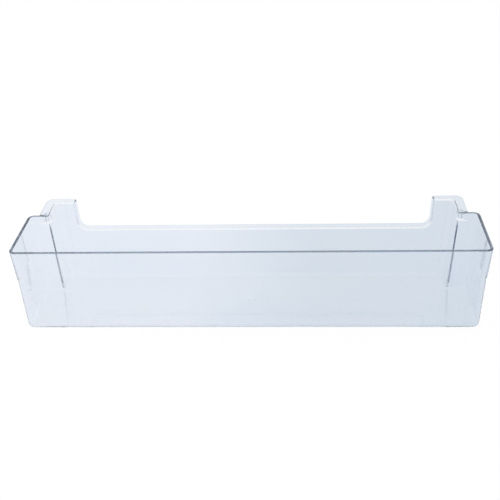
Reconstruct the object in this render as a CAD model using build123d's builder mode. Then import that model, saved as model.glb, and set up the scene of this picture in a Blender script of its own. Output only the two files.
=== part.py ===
from build123d import *
from math import atan, degrees, radians, tan
import os

# Fridge door shelf: one clear injection-moulded tray.
# The front faces -Y, the ends are left and right, and the underside lies on z = 0.
# The rear part is narrower than the front, so the end walls jog inwards before the back wall.
# The back wall is low, and its two corners stand up to the rim as ears.
# A flange runs round the narrow part's top edge and along the back wall, and hangs on the door liner.
# Under the flange, a gusset fills the corner behind each jog and stops the liner's lug.

os.makedirs("parts", exist_ok=True)

# Overall sizes, in millimetres
rim_width = 482.0
height = 96.5
depth = 118.5

# Section of the moulding
wall = 3.0
rear_wall = 2.0
floor = 3.0
corner_radius = 7.0
jog_inner_radius = 1.5
jog_outer_radius = 0.8
base_radius = 6.5
rim_chamfer = 0.6
edge_chamfer = 0.4

# Front wall and end walls
front_lean = 3.2
end_lean = 1.3
end_flare = 2.1
parting_step = 0.6

# Narrow rear part, at the rim
front_room = 80.0
jog_width = 20.1
side_taper = 0.6  # degrees, in plan
side_lean = 5.0
jog_lean = 1.0
back_lean = 3.5

# Ears above the low back wall, and the gap between them
ear_height = 34.0
ear_width = 23.9
ear_lean = 1.5
ear_radius = 9.0
ear_rounding = 2.5

# Flange and the gussets under it
flange_width = 5.5
flange_side = 8.6
flange_thickness = 2.4
flange_radius = 8.0
root_radius = 2.0
gusset_height = 8.0

# Mark of the moulding gate, under the floor
gate_place = -4.5
gate_diameter = 9.0
gate_depth = 0.7
nub_diameter = 2.6
nub_height = 0.4

# Places worked out from the sizes above
front_face = -depth / 2
flange_edge = depth / 2
back_face = flange_edge - flange_width
jog_face = front_face + front_room
narrow_width = rim_width - 2 * jog_width
flange_span = narrow_width + 2 * flange_side
ear_gap = narrow_width - 2 * ear_width
back_height = height - ear_height
bend_height = back_height
rim_end = rim_width / 2
lower_end = rim_end - end_flare - parting_step
lower_slope = end_lean / bend_height
flare_slope = end_flare / (height - bend_height)
inner_flare_slope = (end_flare + parting_step) / (height - bend_height)
floor_radius = base_radius - floor
inner_radius = corner_radius - wall
flange_foot = height - flange_thickness
gusset_radius = flange_side - flange_thickness


def fall(z):
    """Share of the height that lies between the rim and z."""
    return (height - z) / height


def tray_plan(z, inset, rear_inset):
    """Sharp plan of the walls at height z: their outer faces, or faces set in from them."""
    end = (rim_end if z > bend_height else lower_end) - inset
    front = front_face + front_lean * fall(z) + inset
    jog = jog_face - jog_lean * fall(z) - rear_inset
    back = back_face - back_lean * fall(z) - rear_inset
    side = narrow_width / 2 - side_lean * fall(z) - rear_inset
    back_side = side - (back - jog) * tan(radians(side_taper))
    corners = [
        (-end, front),
        (end, front),
        (end, jog),
        (side, jog),
        (back_side, back),
        (-back_side, back),
        (-side, jog),
        (-end, jog),
    ]
    with BuildSketch(Plane.XY.offset(z)) as plan:
        with BuildLine():
            Polyline(*corners, close=True)
        make_face()
    return plan.sketch


def from_middle(shape):
    """Order of faces or edges from the middle of the shelf to its ends, front ones first."""
    return (round(abs(shape.center().X)), shape.center().Y)


def tray_block(low, high, end_slope, jog_radius, radius, inset=0.0, rear_inset=0.0):
    """Solid inside the walls between two heights, with drafted walls and rounded corners."""
    # Walls in order from the middle: front, back, both sides, both jogs, both ends
    drafts = [
        (slice(0, 1), front_lean / height),
        (slice(1, 2), back_lean / height),
        (slice(2, 4), side_lean / height),
        (slice(4, 6), jog_lean / height),
        (slice(6, 8), end_slope),
    ]
    with BuildPart() as block:
        extrude(tray_plan(high, inset, rear_inset), amount=low - high)
        for place, slope in drafts:
            walls = block.faces().filter_by(Axis.Z, reverse=True).sort_by(from_middle)
            draft(walls[place], Plane.XY.offset(high), -degrees(atan(slope)))
        # Upright edges in order of Y: two at the front, four at the jogs, two at the back
        corners = block.edges().filter_by(Plane.XY, reverse=True).sort_by(Axis.Y)
        fillet(corners[2:6].sort_by(from_middle)[:2], jog_radius)
        corners = block.edges().filter_by(Plane.XY, reverse=True)
        outward = corners.sort_by(from_middle)[-4:] + corners.sort_by(Axis.Y)[-2:]
        fillet(outward, radius)
    return block.part


def back_notch(grow=0.0):
    """Opening above the low back wall, drawn on the flange's rear edge, or a larger copy of it."""
    top = ear_gap / 2 + grow
    foot = top - ear_lean
    sill = back_height - grow
    with BuildSketch(Plane.XZ.offset(-flange_edge)) as notch:
        with BuildLine():
            Polyline((-top, height), (-foot, sill), (foot, sill), (top, height), close=True)
        make_face()
        fillet(notch.vertices().group_by(Axis.Y)[0], ear_radius + grow)
    return notch.sketch


def flange_plan():
    """Plan of the flange at the ears, from the jog panels to its rear edge."""
    side = flange_span / 2
    front = jog_face - rear_wall / 2
    corners = [(-side, front), (side, front), (side, flange_edge), (-side, flange_edge)]
    with BuildSketch(Plane.XY.offset(flange_foot)) as plan:
        with BuildLine():
            Polyline(*corners, close=True)
        make_face()
        fillet(plan.vertices().group_by(Axis.Y)[-1], flange_radius)
    return plan.sketch


def gusset_plan():
    """Plan of both gussets: corner squares behind the jogs, each hollowed by an arc."""
    square = flange_side + rear_wall / 2
    with BuildSketch(Plane.XY.offset(flange_foot)) as plan:
        with Locations((narrow_width / 2 - rear_wall / 2, jog_face - rear_wall / 2)):
            Rectangle(square, square, align=(Align.MIN, Align.MIN))
        with Locations((flange_span / 2, jog_face + flange_side)):
            Circle(gusset_radius, mode=Mode.SUBTRACT)
        mirror(about=Plane.YZ)
    return plan.sketch


# Room inside the tray, with the rounding of its floor
with BuildPart() as room:
    add(tray_block(floor, bend_height, lower_slope, jog_inner_radius, inner_radius, wall, rear_wall))
    fillet(room.faces().sort_by(Axis.Z)[0].edges(), floor_radius)
    add(tray_block(bend_height, height, inner_flare_slope, jog_inner_radius, inner_radius, wall, rear_wall))

# Flange round the ears and along the notch, not yet cut open
with BuildPart() as flange:
    extrude(flange_plan(), amount=flange_thickness)
    extrude(back_notch(flange_thickness), amount=flange_width + rear_wall)

with BuildPart() as door_shelf:
    # Outer form below and above the parting step
    add(tray_block(0, bend_height, lower_slope, jog_outer_radius, corner_radius))
    fillet(door_shelf.faces().sort_by(Axis.Z)[0].edges(), base_radius)
    add(tray_block(bend_height, height, flare_slope, jog_outer_radius, corner_radius))
    # Gussets, and the flange with rounded roots on the walls behind them
    extrude(gusset_plan(), amount=-gusset_height)
    add(flange.part)
    roots = door_shelf.edges(Select.NEW)
    fillet(roots.filter_by_position(Axis.Y, jog_face + flange_side + root_radius, flange_edge), root_radius)
    # Room inside, and the notch over the low back wall
    add(room.part, mode=Mode.SUBTRACT)
    extrude(back_notch(), amount=flange_width + 3 * rear_wall, mode=Mode.SUBTRACT)
    # Rounded tops of the ears, beside the notch
    tops = door_shelf.edges().filter_by(Axis.Y).group_by(Axis.Z)[-1]
    fillet(tops.sort_by(from_middle)[:2], ear_rounding)
    # Softened rim, up to the rounded tops
    rim = door_shelf.faces().filter_by(Axis.Z).sort_by(Axis.Z)[-1].edges()
    chamfer(rim - rim.filter_by(Axis.Y).sort_by(from_middle)[:2], rim_chamfer)
    # Softened rear edge of the flange
    rear = door_shelf.faces().filter_by(Axis.Y).sort_by(Axis.Y)[-1]
    chamfer(rear.edges(), edge_chamfer)
    # Dimple and nub of the gate
    with BuildSketch(Plane((0, gate_place, 0))):
        Circle(gate_diameter / 2)
        Circle(nub_diameter / 2, mode=Mode.SUBTRACT)
    extrude(amount=gate_depth, mode=Mode.SUBTRACT)
    with BuildSketch(Plane((0, gate_place, 0))):
        Circle(nub_diameter / 2)
    extrude(amount=gate_depth - nub_height, mode=Mode.SUBTRACT)

door_shelf.part.label = "door_shelf"
export_step(door_shelf.part, "parts/door_shelf.step")
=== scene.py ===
import math

import bmesh
import bpy
from mathutils import Matrix, Vector

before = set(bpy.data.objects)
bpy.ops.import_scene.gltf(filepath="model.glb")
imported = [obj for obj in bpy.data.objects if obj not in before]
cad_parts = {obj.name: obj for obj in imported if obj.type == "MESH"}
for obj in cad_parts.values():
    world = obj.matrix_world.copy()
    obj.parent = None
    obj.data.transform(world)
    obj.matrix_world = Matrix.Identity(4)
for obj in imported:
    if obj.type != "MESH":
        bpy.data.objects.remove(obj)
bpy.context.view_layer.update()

scene = bpy.context.scene
scene.view_settings.view_transform = "Standard"

# Light runs a long way inside the clear walls before it comes out
BOUNCES = 128

# Camera of the photograph, in metres and degrees
IMAGE_SIDE = 500  # pixels
FOCAL_PIXELS = 839.4
SENSOR_WIDTH = 36.0  # millimetres
AIM = Vector((-0.001, 0.00075, 0.0632))
DISTANCE = 0.89643
ELEVATION = 30.785
YAW = -3.648
ROLL = -2.188
NEAREST = 0.01

# Floor: white to the camera and in reflections, and pale blue where it shows through the
# plastic, with a painted light fall-off there from the lit left to the darker right
WHITE_SHARE = 0.96
GLOSS_SHARE = 0.9
BACKDROP_SHARE = 0.9
# Painted light fall-off of the backdrop, paler on the left and darker on the right
BACKDROP_LEFT_PAINTED_LIGHT = (0.774, 0.823, 0.903, 1)
BACKDROP_RIGHT_PAINTED_SHADE = (0.66, 0.726, 0.803, 1)
PAINTED_FALLOFF_REACH = 0.07
FLOOR_COLOUR = (0.9, 0.9, 0.9, 1)
FLOOR_ROUGHNESS = 0.9
FLOOR_REACH = 6.0
FLOOR_DROP = 0.0002

# Lights
WHITE = (1, 1, 1, 1)
SKY_STRENGTH = 1.02
LAMP_PLACE = Vector((-0.8, 0.1, 0.8))
LAMP_SIZE = 1.0
LAMP_POWER = 4.8

# Clear plastic
PLASTIC_IOR = 1.59
BODY_COLOUR = (0.1, 0.3, 0.5, 1)
BODY_DENSITY = 3.0
SHADE_TINT = (0.98, 0.984, 0.988, 1)
PALE_TINT = (0.99, 0.995, 1.0, 1)
BLUE_TINT = (0.965, 0.982, 1.0, 1)
TINT_SPREAD = (0.35, 0.65)
TINT_SIZE = 0.16
# Painted shade on the rim of the front and the ends, in the base colour
RIM_PAINTED_SHADE = (0.2, 0.25, 0.31, 1)
RIM_FOOT = 0.0955
RIM_BACK = 0.0212
RIM_SOFTNESS = 0.0003
POLISH = 0.055
SCUFFED = 0.12
SCUFF_SPREAD = (0.52, 0.78)
SCUFF_SIZE = 0.004
SCUFF_STRETCH = (0.12, 1, 1)
WAVE_HEIGHT = 0.0001
WAVE_SIZE = 0.035

# Colour sockets of a Mix node, whose names its other sockets have too
MIX_FIRST = 6
MIX_SECOND = 7
MIX_RESULT = 2


def place_camera():
    """Sets up the camera that looks down on the shelf from the front."""
    elevation, yaw, roll = (math.radians(angle) for angle in (ELEVATION, YAW, ROLL))
    ahead = Vector((math.sin(yaw), math.cos(yaw), 0))
    forward = math.cos(elevation) * ahead - math.sin(elevation) * Vector((0, 0, 1))
    level = Vector((math.cos(yaw), -math.sin(yaw), 0))
    upward = level.cross(forward)
    right = math.cos(roll) * level + math.sin(roll) * upward
    above = -math.sin(roll) * level + math.cos(roll) * upward
    data = bpy.data.cameras.new("camera")
    data.sensor_width = SENSOR_WIDTH
    data.lens = FOCAL_PIXELS / IMAGE_SIDE * SENSOR_WIDTH
    data.clip_start = NEAREST
    camera = bpy.data.objects.new("camera", data)
    turn = Matrix((right, above, -forward)).transposed().to_4x4()
    camera.matrix_world = Matrix.Translation(AIM - DISTANCE * forward) @ turn
    scene.collection.objects.link(camera)
    scene.camera = camera


def new_material(name):
    """Starts a material, and gives its node tree and its main shader with it."""
    material = bpy.data.materials.new(name)
    material.use_nodes = True
    tree = material.node_tree
    return material, tree, tree.nodes["Principled BSDF"]


def feed(tree, socket, value):
    """Links an output to a socket, or sets the socket to a plain number or colour."""
    if isinstance(value, bpy.types.NodeSocket):
        tree.links.new(value, socket)
    else:
        socket.default_value = value


def parts_of(tree, place):
    """Splits a place on the object into its X, Y and Z."""
    split = tree.nodes.new("ShaderNodeSeparateXYZ")
    tree.links.new(place, split.inputs[0])
    return split.outputs


def noise(tree, place, size, detail, stretch=(1, 1, 1)):
    """Gives an uneven pattern whose spots are about the given size, in metres."""
    stretched = tree.nodes.new("ShaderNodeMapping")
    stretched.inputs["Scale"].default_value = stretch
    tree.links.new(place, stretched.inputs["Vector"])
    pattern = tree.nodes.new("ShaderNodeTexNoise")
    pattern.inputs["Scale"].default_value = 1 / size
    pattern.inputs["Detail"].default_value = detail
    tree.links.new(stretched.outputs[0], pattern.inputs["Vector"])
    return pattern.outputs[0]


def span(tree, value, spread, low=0.0, high=1.0):
    """Gives a value that runs from low to high while another one crosses its spread."""
    scale = tree.nodes.new("ShaderNodeMapRange")
    scale.inputs["From Min"].default_value = spread[0]
    scale.inputs["From Max"].default_value = spread[1]
    scale.inputs["To Min"].default_value = low
    scale.inputs["To Max"].default_value = high
    tree.links.new(value, scale.inputs["Value"])
    return scale.outputs[0]


def combine(tree, operation, first, second):
    """Gives the result of an operation on two values, each an output or a plain number."""
    node = tree.nodes.new("ShaderNodeMath")
    node.operation = operation
    feed(tree, node.inputs[0], first)
    feed(tree, node.inputs[1], second)
    return node.outputs[0]


def fade(tree, value, first, last, spread=(0.0, 1.0)):
    """Gives a colour that runs from the first to the last while a value crosses its spread."""
    ramp = tree.nodes.new("ShaderNodeValToRGB")
    for stop, place, colour in zip(ramp.color_ramp.elements, spread, (first, last)):
        stop.position = place
        stop.color = colour
    tree.links.new(value, ramp.inputs[0])
    return ramp.outputs[0]


def mix_colours(tree, share, first, second):
    """Mixes two colours, where the share is that of the second one."""
    mix = tree.nodes.new("ShaderNodeMix")
    mix.data_type = "RGBA"
    feed(tree, mix.inputs["Factor"], share)
    feed(tree, mix.inputs[MIX_FIRST], first)
    feed(tree, mix.inputs[MIX_SECOND], second)
    return mix.outputs[MIX_RESULT]


def mix_shaders(tree, share, first, second):
    """Mixes two shaders, where the share is that of the second one."""
    mix = tree.nodes.new("ShaderNodeMixShader")
    feed(tree, mix.inputs[0], share)
    feed(tree, mix.inputs[1], first)
    feed(tree, mix.inputs[2], second)
    return mix.outputs[0]


def clear_plastic():
    """Makes the clear, faintly blue plastic of the shelf, with painted shade along its front and
    end rims.
    """
    material, tree, shader = new_material("clear_plastic")
    nodes, links = tree.nodes, tree.links
    shader.inputs["IOR"].default_value = PLASTIC_IOR
    shader.inputs["Transmission Weight"].default_value = 1.0
    absorb = nodes.new("ShaderNodeVolumeAbsorption")
    absorb.inputs["Color"].default_value = BODY_COLOUR
    absorb.inputs["Density"].default_value = BODY_DENSITY
    links.new(absorb.outputs[0], nodes["Material Output"].inputs["Volume"])
    place = nodes.new("ShaderNodeTexCoord").outputs["Object"]
    # Tint that is a little uneven, as the melt ran
    melt = noise(tree, place, TINT_SIZE, detail=1)
    tint = fade(tree, melt, PALE_TINT, BLUE_TINT, TINT_SPREAD)
    # Painted shade: the rim of the front and the ends is darkened in the base colour, standing
    # in for the dark that light trapped inside the clear walls gives there
    spot = parts_of(tree, place)
    high = span(tree, spot["Z"], (RIM_FOOT, RIM_FOOT + RIM_SOFTNESS))
    fore = span(tree, spot["Y"], (RIM_BACK + RIM_SOFTNESS, RIM_BACK))
    rim_shade_mask = combine(tree, "MULTIPLY", high, fore)
    links.new(mix_colours(tree, rim_shade_mask, tint, RIM_PAINTED_SHADE), shader.inputs["Base Color"])
    # Fine scuffs along the shelf on polished faces
    scuffs = noise(tree, place, SCUFF_SIZE, detail=4, stretch=SCUFF_STRETCH)
    links.new(span(tree, scuffs, SCUFF_SPREAD, POLISH, SCUFFED), shader.inputs["Roughness"])
    # Slight waves of the moulded faces
    waves = nodes.new("ShaderNodeBump")
    waves.inputs["Strength"].default_value = 1.0
    waves.inputs["Distance"].default_value = WAVE_HEIGHT
    links.new(noise(tree, place, WAVE_SIZE, detail=0), waves.inputs["Height"])
    links.new(waves.outputs[0], shader.inputs["Normal"])
    # Lamps shine through the walls, so the shelf's shadow stays light
    light = nodes.new("ShaderNodeLightPath")
    clear = nodes.new("ShaderNodeBsdfTransparent")
    clear.inputs["Color"].default_value = SHADE_TINT
    lit = mix_shaders(tree, light.outputs["Is Shadow Ray"], shader.outputs[0], clear.outputs[0])
    links.new(lit, nodes["Material Output"].inputs["Surface"])
    return material


def studio_floor():
    """Makes the pale floor, which the camera sees as white with a faint shadow."""
    material, tree, paint = new_material("studio_floor")
    nodes, links = tree.nodes, tree.links
    paint.inputs["Base Color"].default_value = FLOOR_COLOUR
    paint.inputs["Roughness"].default_value = FLOOR_ROUGHNESS
    paint.inputs["Specular IOR Level"].default_value = 0.0
    # Painted light fall-off: the backdrop is paler on the lamp's side and darker to the right
    spot = parts_of(tree, nodes.new("ShaderNodeTexCoord").outputs["Object"])
    painted_falloff = span(tree, spot["X"], (-PAINTED_FALLOFF_REACH, PAINTED_FALLOFF_REACH))
    backdrop = nodes.new("ShaderNodeEmission")
    links.new(fade(tree, painted_falloff, BACKDROP_LEFT_PAINTED_LIGHT, BACKDROP_RIGHT_PAINTED_SHADE), backdrop.inputs["Color"])
    white = nodes.new("ShaderNodeEmission")
    white.inputs["Color"].default_value = WHITE
    light = nodes.new("ShaderNodeLightPath")
    straight = combine(tree, "MULTIPLY", light.outputs["Is Camera Ray"], WHITE_SHARE)
    mirrored = combine(tree, "MULTIPLY", light.outputs["Is Glossy Ray"], GLOSS_SHARE)
    bright = combine(tree, "MAXIMUM", straight, mirrored)
    front = mix_shaders(tree, bright, paint.outputs[0], white.outputs[0])
    behind = mix_shaders(tree, BACKDROP_SHARE, paint.outputs[0], backdrop.outputs[0])
    # A ray through the plastic counts as a glossy one too, so it is sorted out last
    seen = mix_shaders(tree, light.outputs["Is Transmission Ray"], front, behind)
    links.new(seen, nodes["Material Output"].inputs["Surface"])
    return material


def place_floor():
    """Lays the studio floor just under the shelf."""
    bm = bmesh.new()
    bmesh.ops.create_grid(bm, x_segments=1, y_segments=1, size=FLOOR_REACH)
    mesh = bpy.data.meshes.new("floor")
    bm.to_mesh(mesh)
    bm.free()
    mesh.materials.append(studio_floor())
    floor = bpy.data.objects.new("floor", mesh)
    floor.location.z = -FLOOR_DROP
    scene.collection.objects.link(floor)


def place_lights():
    """Sets up the even light of the studio and one large soft lamp on the left."""
    world = bpy.data.worlds.new("studio")
    scene.world = world
    world.use_nodes = True
    tree = world.node_tree
    sky = tree.nodes["Background"]
    sky.inputs["Color"].default_value = WHITE
    sky.inputs["Strength"].default_value = SKY_STRENGTH
    white = tree.nodes.new("ShaderNodeBackground")
    white.inputs["Color"].default_value = WHITE
    light = tree.nodes.new("ShaderNodeLightPath")
    seen = mix_shaders(tree, light.outputs["Is Camera Ray"], sky.outputs[0], white.outputs[0])
    tree.links.new(seen, tree.nodes["World Output"].inputs["Surface"])
    data = bpy.data.lights.new("left_lamp", "AREA")
    data.shape = "DISK"
    data.size = LAMP_SIZE
    data.energy = LAMP_POWER
    lamp = bpy.data.objects.new("left_lamp", data)
    lamp.location = LAMP_PLACE
    lamp.visible_glossy = False
    lamp.visible_transmission = False
    lamp.rotation_euler = (AIM - LAMP_PLACE).to_track_quat("-Z", "Y").to_euler()
    scene.collection.objects.link(lamp)


scene.cycles.max_bounces = BOUNCES
scene.cycles.glossy_bounces = BOUNCES
scene.cycles.transmission_bounces = BOUNCES
scene.cycles.transparent_max_bounces = BOUNCES
place_camera()
place_floor()
place_lights()
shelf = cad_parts["door_shelf"]
shelf.data.materials.clear()
shelf.data.materials.append(clear_plastic())
